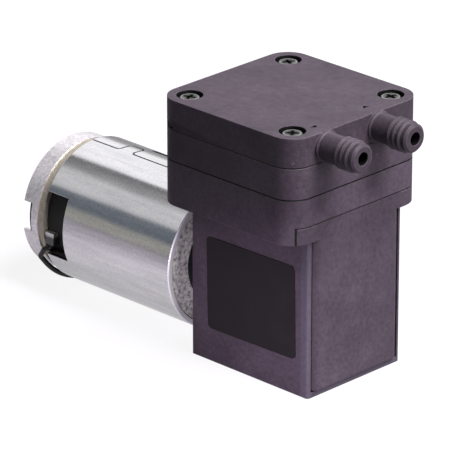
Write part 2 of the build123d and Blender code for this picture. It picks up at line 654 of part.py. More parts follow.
def end_bell():
    """Plastic end bell: a flange inside the band and a hollow spigot in the can."""
    inner = CAN_BORE - BELL_WALL
    boss_r = BUSH_R + BELL_WALL
    boss_x = BELL_REAR + BUSH_L
    profile = [(BELL_REAR, 0), (BELL_REAR, BELL_R), (CAN_REAR, BELL_R), (CAN_REAR, CAN_BORE),
               (WINDOW_X - BELL_WALL, CAN_BORE), (WINDOW_X - BELL_WALL, inner), (BELL_FLOOR, inner),
               (BELL_FLOOR, boss_r), (boss_x, boss_r), (boss_x, 0)]
    body = turned(profile)
    body -= round_x(BUSH_R, BELL_REAR, boss_x)
    for side in (-1, 1):
        y = side * TERMINAL_Y
        body -= block(BELL_REAR - 1, CAN_REAR + 1, y - TERMINAL_T / 2, y + TERMINAL_T / 2,
                      AXIS_Z - TERMINAL_W / 2, AXIS_Z + TERMINAL_W / 2)
        body -= brush_lug(side)
    return body


def brush_lug(side):
    """A bent metal lug standing in a slot of the end bell, on one side of the motor."""
    y0, y1 = sorted((side * (CAN_BORE - LUG_SEAT), side * (CAN_BORE + LUG_OUT)))
    top = AXIS_Z - LUG_DROP
    return around_motor(block(LUG_X, LUG_X + LUG_L, y0, y1, top - LUG_H, top), -MOTOR_TURN)


def brush_lugs():
    """Bright metal lugs in the brush windows, one each side."""
    return [brush_lug(side) for side in (-1, 1)]


def terminals():
    """Two supply blades standing out of the end bell's rear face."""
    blades = []
    for side in (-1, 1):
        blade = Box(TERMINAL_L, TERMINAL_T, TERMINAL_W)
        blade = chamfer(blade.edges().filter_by(Axis.Y).group_by(Axis.X)[0], TERMINAL_W / 5)
        blade -= Rot(90, 0, 0) * Cylinder(TERMINAL_T, TERMINAL_T)
        x = CAN_REAR + 1 - TERMINAL_L / 2
        blades.append(Pos(x, side * TERMINAL_Y, AXIS_Z) * blade)
    return blades


def bush(x0, x1):
    """A plain sintered bush for the shaft."""
    return round_x(BUSH_R, x0, x1) - round_x(SHAFT_R + RUN_FIT, x0, x1)


def magnets():
    """Two arc magnets, above and below the armature."""
    x1 = -CAN_FRONT - CAN_WALL - MAGNET_SETBACK
    x0 = x1 - MAGNET_L
    corners = ((x0, MAGNET_BORE), (x1, MAGNET_BORE), (x1, CAN_BORE), (x0, CAN_BORE))
    face = Pos(0, 0, AXIS_Z) * (Plane.XZ * make_face(Polyline(*corners, close=True)))
    arc = revolve(face, MOTOR_AXIS, MAGNET_ARC)
    return [around_motor(arc, -MAGNET_ARC / 2), around_motor(arc, 180 - MAGNET_ARC / 2)]


def armature_core():
    """Laminated core: a hub with five T-shaped poles."""
    outer = Circle(ARMATURE_R)
    slots = []
    for i in range(POLES):
        turn = Rot(0, 0, (i + 0.5) * 360 / POLES)
        mouth = turn * Pos(ARMATURE_R - TIP_T / 2, 0) * Rectangle(TIP_T * 3, SLOT_MOUTH)
        slots.append(mouth)
        slots.append(turn * winding_room())
    section = outer - slots - Circle(SHAFT_R)
    return extrude(Plane.YZ * section, CORE_LEN).moved(Location((CORE_REAR, 0, AXIS_Z)))


def winding_room():
    """The space between two poles, beside the local X axis."""
    half = math.radians(180 / POLES)
    tooth = TOOTH_W / 2 / math.sin(half)
    outer = ARMATURE_R - TIP_T
    face = Pos(tooth, 0) * make_face(Polyline((0, 0), (ARMATURE_R * 2, ARMATURE_R * 2 * math.tan(half)),
                                              (ARMATURE_R * 2, -ARMATURE_R * 2 * math.tan(half)), close=True))
    return face & Circle(outer) - Circle(HUB_R)


def windings():
    """Copper coils: a fill in each slot and rounded end turns."""
    fills = []
    for i in range(POLES):
        room = Rot(0, 0, (i + 0.5) * 360 / POLES) * winding_room()
        fills.append(extrude(Plane.YZ * offset(room, -COIL_FIT), CORE_LEN).moved(Location((CORE_REAR, 0, AXIS_Z))))
    outer = ARMATURE_R - TIP_T - COIL_FIT
    inner = HUB_R + COIL_FIT
    for x0, x1 in ((CORE_X, CORE_X + COIL_T), (CORE_REAR - COIL_T, CORE_REAR)):
        ring = round_x(outer, x0, x1) - round_x(inner, x0, x1)
        crown = ring.edges().sort_by(Axis.X)[-2:] if x0 == CORE_X else ring.edges().sort_by(Axis.X)[:2]
        fills.append(chamfer(crown, COIL_BEVEL))
    coils = fills[0]
    for fill in fills[1:]:
        coils += fill
    return coils


def commutator():
    """Segmented commutator behind the armature."""
    x0 = COMMUTATOR_X - COMMUTATOR_L
    body = round_x(COMMUTATOR_R, x0, COMMUTATOR_X) - round_x(SHAFT_R, x0, COMMUTATOR_X)
    cut = block(x0, COMMUTATOR_X - 1, -COMMUTATOR_CUT / 2, COMMUTATOR_CUT / 2,
                AXIS_Z + COMMUTATOR_R - 1, AXIS_Z + COMMUTATOR_R + 1)
    return body - [around_motor(cut, i * 360 / POLES) for i in range(POLES)]


def brushes():
    """Two carbon brushes, above and below the commutator."""
    x = COMMUTATOR_X - COMMUTATOR_L / 2
    near = AXIS_Z + COMMUTATOR_R + BRUSH_GAP
    brush = block(x - BRUSH_W / 2, x + BRUSH_W / 2, -BRUSH_W / 2, BRUSH_W / 2, near - 1, near + BRUSH_L)
    brush -= round_x(COMMUTATOR_R + BRUSH_GAP, x - BRUSH_W, x + BRUSH_W)
    return [brush, around_motor(brush, 180)]


def brush_arms():
    """Leaf springs that press the brushes and run to the end bell."""
    x = COMMUTATOR_X - COMMUTATOR_L / 2
    top = AXIS_Z + COMMUTATOR_R + BRUSH_GAP + BRUSH_L
    leaf = block(BELL_FLOOR, x + BRUSH_W / 2, -BRUSH_W / 2, BRUSH_W / 2, top, top + BRUSH_ARM_T)
    return [leaf, around_motor(leaf, 180)]


def motor_shaft():
    """Steel shaft from the rear bush to the eccentric."""
    shaft = round_x(SHAFT_R, SHAFT_REAR, SHAFT_FRONT)
    return chamfer(shaft.edges().group_by(Axis.X)[-1], SHAFT_R / 6)


# ---- ground lead ----
def on_motor(x, degrees, radius):
    """A point round the motor's axis, the angle counted from -Y downwards."""
    a = math.radians(degrees)
    return Vector(x, -radius * math.cos(a), AXIS_Z - radius * math.sin(a))


def lead_path():
    """Route of the lead: from under its lug, over the band's edge and round under the motor."""
    low = AXIS_Z - LUG_DROP - LUG_H
    root = Vector(LUG_X + LEAD_R + LEAD_OFF, -math.sqrt(LEAD_ROOT_R ** 2 - (AXIS_Z - low) ** 2), low)
    start = on_motor(CAN_REAR + LEAD_AHEAD, LEAD_WRAP, BAND_R + LEAD_R + LEAD_ARCH)
    middle = on_motor(LEAD_X, (LEAD_WRAP + LEAD_END_ANGLE) / 2, LEAD_PATH_R + LEAD_SLACK)
    arc = ThreePointArc(start, middle, on_motor(LEAD_X, LEAD_END_ANGLE, LEAD_PATH_R))
    out = on_motor(GROOVE_X + LEAD_OFF, LEAD_OUT, BAND_R + LEAD_R)
    bend = start - (arc % 0) * LEAD_STRAIGHT
    route = FilletPolyline(root, root - Vector(0, 0, LEAD_BEND_R), out, bend, start, radius=LEAD_BEND_R)
    return Wire([*route.edges(), arc.edge()])


def ground_lead():
    """Black insulated lead from the -Y brush lug to the case."""
    path = lead_path()
    section = Plane(origin=path @ 0, z_dir=path % 0) * Circle(LEAD_R)
    return around_motor(sweep(section, path=path), -MOTOR_TURN)


def solder_joint():
    """Half bead of solder at the end of the lead, with its flat foot on the can."""
    path = lead_path()
    outward = (path @ 1) - Vector(LEAD_X, 0, AXIS_Z)
    face = Plane(origin=path @ 1, x_dir=outward, z_dir=path % 1)
    foot = -LEAD_R - LEAD_OFF
    bead = Sphere(SOLDER_R) & block(foot, SOLDER_R, -SOLDER_R, SOLDER_R, 0, SOLDER_R)
    return around_motor(face * bead, -MOTOR_TURN)


NODES = {
    "head_cover": head_cover, "head_screws": head_screws, "head_gasket": head_gasket,
    "valve_plate": valve_plate, "inlet_valve": inlet_valve, "outlet_valve": outlet_valve,
    "crankcase": crankcase, "front_cover": front_cover, "label_plate": label_plate,
    "diaphragm": diaphragm, "diaphragm_retainer": diaphragm_retainer, "retainer_screw": retainer_screw,
    "connecting_rod": connecting_rod, "bearing_outer": bearing_outer, "bearing_inner": bearing_inner,
    "crank_eccentric": crank_eccentric, "eccentric_set_screw": eccentric_set_screw,
    "motor_shaft": motor_shaft, "motor_can": motor_can, "motor_screws": motor_screws,
    "flux_ring": flux_ring, "rear_band": rear_band, "end_bell": end_bell, "brush_lugs": brush_lugs,
    "terminals": terminals, "magnets": magnets, "armature_core": armature_core, "windings": windings,
    "commutator": commutator, "brushes": brushes, "brush_arms": brush_arms,
    "front_bush": lambda: bush(-CAN_FRONT + PILOT_L - BUSH_L, -CAN_FRONT + PILOT_L),
    "rear_bush": lambda: bush(BELL_REAR, BELL_REAR + BUSH_L),
    "ground_lead": ground_lead, "solder_joint": solder_joint,
}


def main():
    """Write one STEP file for each piece."""
    os.makedirs("parts", exist_ok=True)
    for name, make in NODES.items():
        shape = make()
        if isinstance(shape, list):
            shape = Compound(children=shape)
        export_step(shape, f"parts/{name}.step")


main()
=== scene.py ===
"""Looks of the diaphragm vacuum pump: materials, fine detail, studio and camera, in metres."""
import json
import math

import bmesh
import bpy
from mathutils import Matrix, Vector


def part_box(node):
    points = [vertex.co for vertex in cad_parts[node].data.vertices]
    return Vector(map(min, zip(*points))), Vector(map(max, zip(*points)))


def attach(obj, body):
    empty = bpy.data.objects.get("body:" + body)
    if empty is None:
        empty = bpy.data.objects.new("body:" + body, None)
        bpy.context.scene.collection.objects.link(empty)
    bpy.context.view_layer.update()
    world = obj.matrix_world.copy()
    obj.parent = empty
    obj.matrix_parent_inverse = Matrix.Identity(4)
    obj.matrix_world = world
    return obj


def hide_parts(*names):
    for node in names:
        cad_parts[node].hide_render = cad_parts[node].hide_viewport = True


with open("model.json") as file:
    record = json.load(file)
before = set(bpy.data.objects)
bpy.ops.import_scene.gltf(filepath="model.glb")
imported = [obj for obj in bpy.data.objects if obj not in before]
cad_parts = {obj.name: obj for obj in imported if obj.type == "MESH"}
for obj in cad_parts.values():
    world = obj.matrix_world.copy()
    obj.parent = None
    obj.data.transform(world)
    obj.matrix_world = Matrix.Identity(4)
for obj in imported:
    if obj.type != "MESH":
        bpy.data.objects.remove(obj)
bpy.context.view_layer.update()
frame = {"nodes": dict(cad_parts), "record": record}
MM = 0.001

# ---- places read from the frame ----
COVER_LOW, COVER_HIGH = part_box("head_cover")
SCREWS_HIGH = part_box("head_screws")[1]
VALVE_LOW, VALVE_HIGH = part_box("valve_plate")
FRONT_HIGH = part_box("front_cover")[1]
CAN_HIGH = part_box("motor_can")[1]
RING_LOW, RING_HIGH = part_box("flux_ring")
LUGS_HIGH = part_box("brush_lugs")[1]
MEMBRANE_LOW, MEMBRANE_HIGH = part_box("diaphragm")
AXIS_Z = (RING_LOW.z + RING_HIGH.z) / 2
PORTS = [mount["pos_m"] for mount in frame["record"]["mounts"] if mount["name"].endswith("_port")]

# ---- sizes of the finish, in metres ----
TOP_Z = PORTS[0][2] + 3.95 * MM             # the cover's top face, above the ports' axes
TOP_SKIN = 0.3 * MM                         # the top's own tone, the front's painted light and the side's painted shade reach this deep
FRONT_SKIN = 0.5 * MM
SIDE_SKIN = 0.6 * MM
SCREW_HEAD_R = 2.9 * MM
SCREW_HEAD_H = 1.2 * MM
SCREW_AT = SCREWS_HIGH.x - SCREW_HEAD_R     # distance of the screws from both centre planes
COUNTERBORE_R = 3.5 * MM
RECESS_FROM = 0.08 * MM                     # what is cut into the top is painted dark as shade from this depth
MARKS_FROM = 15 * MM                        # the flow marks lie ahead of this X and within this Y
MARKS_WITHIN = 14 * MM
MARKS_SHORT = 0.4 * MM                      # and end this far behind the front
BORE_R = 1.85 * MM                          # just outside the ports' bores
BORE_FROM = 0.15 * MM                       # the bores are painted dark as shade from this far behind the ports' tips
WEDGE_L = 32 * MM                           # painted shade: a dark wedge at the foot of the cover's -Y side
WEDGE_H = 3.4 * MM
FLANGE_H = 4.4 * MM                         # the front cover's flange
FLANGE_T = 1.25 * MM
FLANGE_EAR = 5 * MM                         # its ends stand out past the panel
SEAM_HALF = 0.16 * MM                       # half the width of a dark seam
RIM_BACK = 3.3 * MM                         # the crankcase's front rim and the panel, behind the front
RIM_Y = -16.9 * MM                          # the rim's painted highlight and the panel's painted shade start at this Y and run this far
RIM_RUN = 4 * MM
LEDGE_H = 1.1 * MM                          # the ledge under the panel, with a painted highlight
BOSS_FROM = -18.2 * MM                      # the crankcase's rear boss lies behind this X, painted black as shade
BOSS_R = 12.3 * MM
CREST_H = 16.5 * MM                         # the flux ring's seam and key lie over this height above the axis
SEAM_INSIDE_R = 19.1 * MM                   # walls of the flux ring's seam lie inside this
RIM_L = 0.28 * MM                           # painted highlight along the rolled front edge of the flux ring
GROOVE_L = 0.9 * MM                         # groove in the can behind the flux ring, painted black as shade
CAN_FACE_L = 4.2 * MM                       # rough front end of the can
CAN_EDGE_R = 17.65 * MM                     # painted shadow on the outer edge of the can's front face
LUG_FADE = 4 * MM                           # the brush lugs darken over this height
STRIPE_L = 1.2 * MM                         # fine layers of the core and the windings


# ---- sizes of the diaphragm, in metres ----
MEMBRANE_HOLE_R = 1.5 * MM
MEMBRANE_PAD_R = 9.0 * MM                   # flat middle, clamped to the rod
MEMBRANE_WEB_R = 14.4 * MM                  # the web ends here, at the clamped rim
MEMBRANE_T = 1.4 * MM
MEMBRANE_RIM_T = 1.6 * MM
MEMBRANE_STEPS = 96

# ---- camera, fitted to the photograph's edges ----
CAMERA_AZIMUTH = math.radians(44.619)
CAMERA_ELEVATION = math.radians(22.422)
CAMERA_BACK = 1.13357                       # its place from the frame's origin, in metres
CAMERA_LEFT = 0.016106
CAMERA_UP = 0.032576
CAMERA_LENS = 358.61                        # in millimetres, on a sensor of 36 mm

# ---- lights ----
LAMPS_AIM = (0, 0, 0.03)                    # the area lamps face this point


# ---- node helpers ----
class Graph:
    """A material's or the world's node tree, with short calls for the nodes used here."""

    def __init__(self, owner):
        owner.use_nodes = True
        self.tree = owner.node_tree
        self.tree.nodes.clear()

    def add(self, kind, **settings):
        """A node; settings are its properties."""
        node = self.tree.nodes.new(kind)
        for key, value in settings.items():
            setattr(node, key, value)
        return node

    def put(self, node, socket, value):
        """Links value to the socket if it is an output, or sets it."""
        if isinstance(value, bpy.types.NodeSocket):
            self.tree.links.new(value, node.inputs[socket])
        else:
            node.inputs[socket].default_value = value

    def place(self):
        """The object's own coordinates, in metres."""
        return self.add("ShaderNodeTexCoord").outputs["Object"]

    def axes(self, names="XYZ"):
        """These of the X, Y and Z of the object's own coordinates."""
        split = self.add("ShaderNodeSeparateXYZ")
        self.put(split, 0, self.place())
        return [split.outputs[name] for name in names]

    def noise(self, size, detail=4.0, rough=0.55, stretch=(1, 1, 1)):
        """Noise from 0 to 1 with features of about this size in millimetres."""
        vector = self.add("ShaderNodeMapping", vector_type="POINT")
        self.put(vector, "Vector", self.place())
        vector.inputs["Scale"].default_value = stretch
        node = self.add("ShaderNodeTexNoise")
        self.put(node, "Vector", vector.outputs[0])
        node.inputs["Scale"].default_value = 1 / (size * MM)
        node.inputs["Detail"].default_value = detail
        node.inputs["Roughness"].default_value = rough
        return node.outputs["Fac"]

    def ramp(self, value, *stops):
        """A colour ramp over value; each stop is (position, colour or grey)."""
        node = self.add("ShaderNodeValToRGB")
        self.put(node, 0, value)
        elements = node.color_ramp.elements
        while len(elements) < len(stops):
            elements.new(0.5)
        for element, (position, colour) in zip(elements, stops):
            element.position = position
            element.color = (*colour, 1) if isinstance(colour, tuple) else (colour, colour, colour, 1)
        return node.outputs[0]

    def math(self, operation, a, b=0.0, clamp=False):
        """A math node's result on a and b; clamp keeps it from 0 to 1."""
        node = self.add("ShaderNodeMath", operation=operation, use_clamp=clamp)
        self.put(node, 0, a)
        self.put(node, 1, b)
        return node.outputs[0]

    def product(self, value, *others):
        """All the values multiplied."""
        for other in others:
            value = self.math("MULTIPLY", value, other)
        return value

    def largest(self, value, *others):
        """The largest of the values."""
        for other in others:
            value = self.math("MAXIMUM", value, other)
        return value

    def distance(self, a, b):
        """Length of the vector (a, b)."""
        return self.math("SQRT", self.math("ADD", self.product(a, a), self.product(b, b)))

    def mix(self, factor, a, b, blend="MIX"):
        """Colours a and b mixed by factor."""
        node = self.add("ShaderNodeMix", data_type="RGBA", blend_type=blend)
        for socket, value in ((0, factor), (6, a), (7, b)):
            self.put(node, socket, (*value, 1) if isinstance(value, tuple) else value)
        return node.outputs[2]

    def bump(self, height, strength, distance, normal=None):
        """A normal roughened by height; distance in millimetres."""
        node = self.add("ShaderNodeBump")
        self.put(node, "Height", height)
        self.put(node, "Strength", strength)
        node.inputs["Distance"].default_value = distance * MM
        if normal is not None:
            self.put(node, "Normal", normal)
        return node.outputs[0]

    def bevel(self, radius):
        """A normal that rounds the edges by a radius in millimetres."""
        node = self.add("ShaderNodeBevel", samples=4)
        node.inputs["Radius"].default_value = radius * MM
        return node.outputs[0]

    def surface(self, **sockets):
        """The principled shader; sockets are named as in Blender, with _ for a space."""
        shader = self.add("ShaderNodeBsdfPrincipled")
        for key, value in sockets.items():
            self.put(shader, key.replace("_", " "), value)
        output = self.add("ShaderNodeOutputMaterial")
        self.put(output, 0, shader.outputs[0])
        return shader


def material(name, build):
    """A material whose nodes are made by build."""
    made = bpy.data.materials.new(name)
    build(Graph(made))
    return made


# ---- places on the object ----
def edges(g, radius):
    """1 on the edges, fading to 0 within a radius in millimetres."""
    dot = g.add("ShaderNodeVectorMath", operation="DOT_PRODUCT")
    g.put(dot, 0, g.bevel(radius))
    g.put(dot, 1, g.add("ShaderNodeNewGeometry").outputs["Normal"])
    return g.ramp(dot.outputs["Value"], (0.90, 1.0), (0.99, 0.0))


def near(g, value, place, reach):
    """1 where value lies within reach of place, else 0."""
    return g.math("LESS_THAN", g.math("ABSOLUTE", g.math("SUBTRACT", value, place)), reach)


def between(g, value, low, high):
    """1 where value lies between low and high, else 0."""
    return g.product(g.math("GREATER_THAN", value, low), g.math("LESS_THAN", value, high))


def from_axis(g):
    """Distance from the motor's axis."""
    y, z = g.axes("YZ")
    return g.distance(y, g.math("SUBTRACT", z, AXIS_Z))


def from_screws(g):
    """Distance from the axis of the nearest head screw."""
    x, y = g.axes("XY")
    return g.distance(g.math("SUBTRACT", g.math("ABSOLUTE", x), SCREW_AT),
                      g.math("SUBTRACT", g.math("ABSOLUTE", y), SCREW_AT))


def body_seams(g):
    """1 along the dark seams between the stacked mouldings and round the front cover's flange."""
    x, y, z = g.axes()
    back = FRONT_HIGH.x - FLANGE_T
    layers = g.largest(near(g, z, VALVE_HIGH.z, SEAM_HALF), near(g, z, VALVE_LOW.z, SEAM_HALF))
    top = g.product(g.math("GREATER_THAN", x, back - SEAM_HALF), near(g, z, FRONT_HIGH.z, SEAM_HALF))
    ends = g.product(near(g, x, back, SEAM_HALF), near(g, z, FRONT_HIGH.z - FLANGE_H / 2, FLANGE_H / 2),
                     g.math("GREATER_THAN", g.math("ABSOLUTE", y), FRONT_HIGH.y - FLANGE_EAR))
    return g.largest(layers, top, ends)


def port_bores(g):
    """1 inside the bores of the two hose ports, where painted shade goes."""
    x, y, z = g.axes()
    bores = []
    for place in PORTS:
        radius = g.distance(g.math("SUBTRACT", y, place[1]), g.math("SUBTRACT", z, place[2]))
        bores.append(g.math("LESS_THAN", radius, BORE_R))
    return g.product(g.largest(*bores), between(g, x, FRONT_HIGH.x, COVER_HIGH.x - BORE_FROM))


def top_recesses(g):
    """1 in the flow marks and in the screws' counterbores, below the cover's top face, where painted shade
    goes.
    """
    x, y, z = g.axes()
    marks = g.product(between(g, x, MARKS_FROM, FRONT_HIGH.x - MARKS_SHORT),
                      g.math("LESS_THAN", g.math("ABSOLUTE", y), MARKS_WITHIN))
    counterbores = g.math("LESS_THAN", from_screws(g), COUNTERBORE_R)
    return g.product(between(g, z, VALVE_HIGH.z, TOP_Z - RECESS_FROM), g.largest(marks, counterbores))


def side_shade(g):
    """Painted shade on the -Y side: the valve plate darkened, and a dark wedge above it fading towards the
    ports.
    """
    x, y, z = g.axes()
    left = g.math("SUBTRACT", 1.0, g.math("DIVIDE", g.math("SUBTRACT", x, COVER_LOW.x), WEDGE_L, True))
    rise = g.math("DIVIDE", g.math("SUBTRACT", z, VALVE_HIGH.z), WEDGE_H)
    wedge = g.math("MULTIPLY", g.math("SUBTRACT", left, rise), 4.0, True)
    wedge = g.product(wedge, g.math("GREATER_THAN", rise, 0.0))
    plate = between(g, z, VALVE_LOW.z, VALVE_HIGH.z)
    shade = g.math("ADD", g.product(wedge, 0.95), g.product(plate, 0.60))
    side = g.math("LESS_THAN", y, COVER_LOW.y + SIDE_SKIN)
    return g.product(shade, side, g.math("POWER", left, 0.5))


def painted_face_shading(g):
    """Painted shade and light: the cover's sides a little darker than its top, and the skirt's front a little
    lighter.
    """
    x, z = g.axes("XZ")
    cover = between(g, z, VALVE_HIGH.z, TOP_Z - TOP_SKIN)
    front = g.math("GREATER_THAN", x, FRONT_HIGH.x - FRONT_SKIN)
    skirt = g.product(front, between(g, z, FRONT_HIGH.z, VALVE_LOW.z))
    tone = g.math("SUBTRACT", 1.0, g.product(cover, 0.24))
    return g.math("ADD", tone, g.product(skirt, 0.15))


def front_rim_light_and_shade(g):
    """Painted highlight on the rim round the front panel and on the ledge under it, and painted shade in a
    soft band on the panel's edge beside it.
    """
    x, y, z = g.axes()
    front = g.product(g.math("GREATER_THAN", x, FRONT_HIGH.x - RIM_BACK),
                      g.math("LESS_THAN", z, FRONT_HIGH.z - FLANGE_H))
    across = g.math("DIVIDE", g.math("SUBTRACT", y, RIM_Y), RIM_RUN, True)
    side = g.ramp(across, (0.18, 1.0), (0.36, 0.0))
    light = g.largest(side, g.math("LESS_THAN", z, LEDGE_H))
    band = g.ramp(across, (0.36, 0.0), (0.46, 1.0), (0.60, 0.6), (1.0, 0.0))
    return g.product(front, light), g.product(front, band)


# ---- materials ----
def moulding(g):
    """Purple-grey moulded plastic with a cloudy mottle and fine grain; softly rounded edges with a painted
    highlight, and painted light and shade on its faces and hollows.
    """
    clouds = g.ramp(g.noise(9, 3), (0.32, (0.055, 0.040, 0.057)), (0.70, (0.078, 0.059, 0.080)))
    flecks = g.ramp(g.noise(1.1, 5, 0.72), (0.30, 0.66), (0.52, 1.0), (0.74, 1.36))
    # painted light and shade by face: the cover's sides darker, the skirt's front lighter
    colour = g.mix(1.0, g.mix(1.0, clouds, flecks, "MULTIPLY"), painted_face_shading(g), "MULTIPLY")
    specks = g.ramp(g.noise(1.5, 2), (0.735, 0.0), (0.765, 0.5))
    colour = g.mix(specks, colour, (0.17, 0.14, 0.17))
    # painted highlight along the edges
    colour = g.mix(g.product(edges(g, 0.35), 0.45), colour, (0.20, 0.17, 0.20))
    rim, band = front_rim_light_and_shade(g)
    # painted highlight on the rim round the front panel and on the ledge under it
    colour = g.mix(g.product(rim, 0.36), colour, (0.105, 0.100, 0.135))
    # painted shade: the -Y side's wedge and valve plate, and the soft band on the panel's edge
    shade = g.largest(side_shade(g), g.product(band, 0.5))
    colour = g.mix(shade, colour, (0.008, 0.006, 0.008))
    # painted shade, near black, on the rear boss, in the port bores and in the top's recesses; the seams are
    # dark joints
    boss_shade = g.product(g.math("LESS_THAN", g.axes()[0], BOSS_FROM), g.math("LESS_THAN", from_axis(g), BOSS_R))
    dark = g.largest(body_seams(g), boss_shade, port_bores(g), top_recesses(g))
    colour = g.mix(dark, colour, (0.002, 0.002, 0.002))
    normal = g.bump(g.noise(0.25, 6, 0.75), 0.30, 0.04, g.bevel(0.30))
    g.surface(Base_Color=colour, Roughness=g.ramp(g.noise(2.2), (0.3, 0.48), (0.7, 0.62)),
              Specular_IOR_Level=0.24, Normal=normal)


def label_film(g):
    """Near-black printed film."""
    shade = g.ramp(g.noise(6, 3), (0.3, (0.0080, 0.0060, 0.0085)), (0.7, (0.0120, 0.0080, 0.0120)))
    normal = g.bump(g.noise(0.4, 5), 0.12, 0.02, g.bevel(0.12))
    g.surface(Base_Color=shade, Roughness=g.ramp(g.noise(3), (0.3, 0.42), (0.7, 0.50)),
              Specular_IOR_Level=0.16, Normal=normal)


def plated_steel(g):
    """Bright zinc plate on rolled steel: fine spangle, faint streaks, a black seam, and painted highlights on
    its edges and rolled front rim.
    """
    spangle = g.noise(0.55, 6, 0.8)
    streaks = g.noise(1.6, 4, 0.6, (0.10, 1, 1))
    tone = g.ramp(g.math("ADD", g.product(spangle, 0.6), g.product(streaks, 0.4)),
                  (0.34, (0.58, 0.58, 0.61)), (0.62, (0.88, 0.86, 0.89)))
    x, z = g.axes("XZ")
    # painted highlight along the rolled front rim
    rim = g.math("GREATER_THAN", x, RING_HIGH.x - RIM_L)
    crest = g.math("GREATER_THAN", z, AXIS_Z + CREST_H)
    # the ring's edges: a painted highlight below the crest, painted black with the seam at the crest
    highlight_and_seam_edges = edges(g, 0.22)
    light = g.largest(g.product(highlight_and_seam_edges, g.math("SUBTRACT", 1.0, crest)), rim)
    seam = g.product(g.largest(g.math("LESS_THAN", from_axis(g), SEAM_INSIDE_R), highlight_and_seam_edges), crest)
    colour = g.mix(seam, g.mix(light, tone, (0.95, 0.95, 0.96)), (0.002, 0.002, 0.002))
    covered = g.largest(g.product(light, 0.7), seam)
    normal = g.bump(spangle, 0.09, 0.03, g.bevel(0.16))
    rough = g.math("ADD", g.ramp(spangle, (0.30, 0.08), (0.72, 0.19)), g.product(light, 0.30))
    g.surface(Base_Color=colour, Metallic=g.math("SUBTRACT", 1.0, covered), Roughness=rough, Normal=normal)


def band_steel(g):
    """The rear band: duller and browner than the flux ring, with a coarse grain."""
    grain = g.noise(0.8, 6, 0.8)
    tone = g.ramp(grain, (0.34, (0.60, 0.57, 0.60)), (0.60, (0.97, 0.93, 0.98)))
    normal = g.bump(grain, 0.25, 0.04, g.bevel(0.16))
    g.surface(Base_Color=tone, Metallic=0.9, Roughness=g.ramp(grain, (0.3, 0.40), (0.7, 0.52)), Normal=normal)


def can_steel(g):
    """Drawn can: dull cream along its side and speckled on its front face; painted shade black in its groove
    and painted shadow round its front face's outer edge.
    """
    x = g.axes()[0]
    front = g.math("GREATER_THAN", x, CAN_HIGH.x - CAN_FACE_L)
    # painted shadow round the outer edge of the front face, and painted shade in the groove
    edge = g.product(front, g.math("GREATER_THAN", from_axis(g), CAN_EDGE_R))
    groove = near(g, x, RING_LOW.x - GROOVE_L / 2, GROOVE_L / 2)
    cream = g.ramp(g.noise(1.1, 5, 0.7), (0.3, (0.40, 0.36, 0.29)), (0.7, (0.56, 0.52, 0.44)))
    coarse = g.ramp(g.noise(1.1, 8, 0.8), (0.38, 0.16), (0.50, (0.74, 0.74, 0.67)), (0.60, (1.0, 0.99, 0.90)))
    colour = g.mix(g.largest(edge, groove), g.mix(front, cream, coarse), (0.004, 0.004, 0.004))
    dull_part = g.largest(front, groove)
    normal = g.bump(g.noise(1.1, 8, 0.8), g.product(front, 0.8), 0.35, g.bevel(0.15))
    g.surface(Base_Color=colour, Metallic=g.math("SUBTRACT", 0.60, g.product(dull_part, 0.50)),
              Roughness=g.math("ADD", 0.46, g.product(dull_part, 0.20)), Specular_IOR_Level=0.12,
              Normal=normal)


def lug_metal(g):
    """Brush lug: dark at the foot, bright along its top."""
    z = g.axes()[2]
    top = g.ramp(g.math("DIVIDE", g.math("SUBTRACT", LUGS_HIGH.z, z), LUG_FADE), (0.10, 0.85), (0.35, 0.14))
    tone = g.mix(1.0, top, g.ramp(g.noise(0.5, 5), (0.3, 0.7), (0.7, 1.0)), "MULTIPLY")
    g.surface(Base_Color=tone, Metallic=0.9, Roughness=g.ramp(g.noise(0.8), (0.3, 0.24), (0.7, 0.38)),
              Normal=g.bevel(0.15))


def screw_steel(g):
    """Zinc-plated screws; the head screws have a recess in painted shade, a painted highlight on the rim and
    painted shade at the edge.
    """
    share = g.math("DIVIDE", from_screws(g), SCREW_HEAD_R)
    # across a head: painted shade in the recess, the head's dark tone, a painted highlight on the rim,
    # painted shade at the edge
    rings = g.ramp(share, (0.0, 0.01), (0.40, 0.012), (0.47, 0.07), (0.66, 0.12), (0.72, 0.28), (0.84, 0.26),
                   (0.90, 0.03), (1.0, 0.01))
    head = g.math("GREATER_THAN", g.axes()[2], SCREWS_HIGH.z - SCREW_HEAD_H)
    plain = g.ramp(g.noise(0.8, 5, 0.7), (0.3, (0.42, 0.41, 0.42)), (0.7, (0.62, 0.60, 0.60)))
    tone = g.mix(head, plain, rings)
    normal = g.bump(g.noise(0.3, 5, 0.7), 0.25, 0.04, g.bevel(0.15))
    g.surface(Base_Color=tone, Metallic=0.85, Roughness=g.ramp(g.noise(1.4), (0.3, 0.28), (0.7, 0.40)),
              Specular_IOR_Level=0.2, Normal=normal)


def machined(colour, rough):
    """A plain metal of one colour with fine variation; rough is its lowest and highest roughness."""
    def build(g):
        dark = tuple(c * 0.72 for c in colour)
        tone = g.ramp(g.noise(0.8, 5, 0.7), (0.3, dark), (0.7, colour))
        low, high = rough
        normal = g.bump(g.noise(0.3, 5, 0.7), 0.18, 0.03, g.bevel(0.12))
        g.surface(Base_Color=tone, Metallic=1.0, Roughness=g.ramp(g.noise(1.4), (0.3, low), (0.7, high)),
                  Normal=normal)
    return build


def dull(colour, rough, bump=0.3):
    """A plain non-metal of one colour with fine variation."""
    def build(g):
        dark = tuple(c * 0.70 for c in colour)
        tone = g.ramp(g.noise(1.5, 5, 0.7), (0.3, dark), (0.7, colour))
        normal = g.bump(g.noise(0.3, 6, 0.75), bump, 0.05, g.bevel(0.15))
        g.surface(Base_Color=tone, Roughness=g.ramp(g.noise(2.0), (0.3, rough - 0.05), (0.7, rough + 0.05)),
                  Specular_IOR_Level=0.4, Normal=normal)
    return build


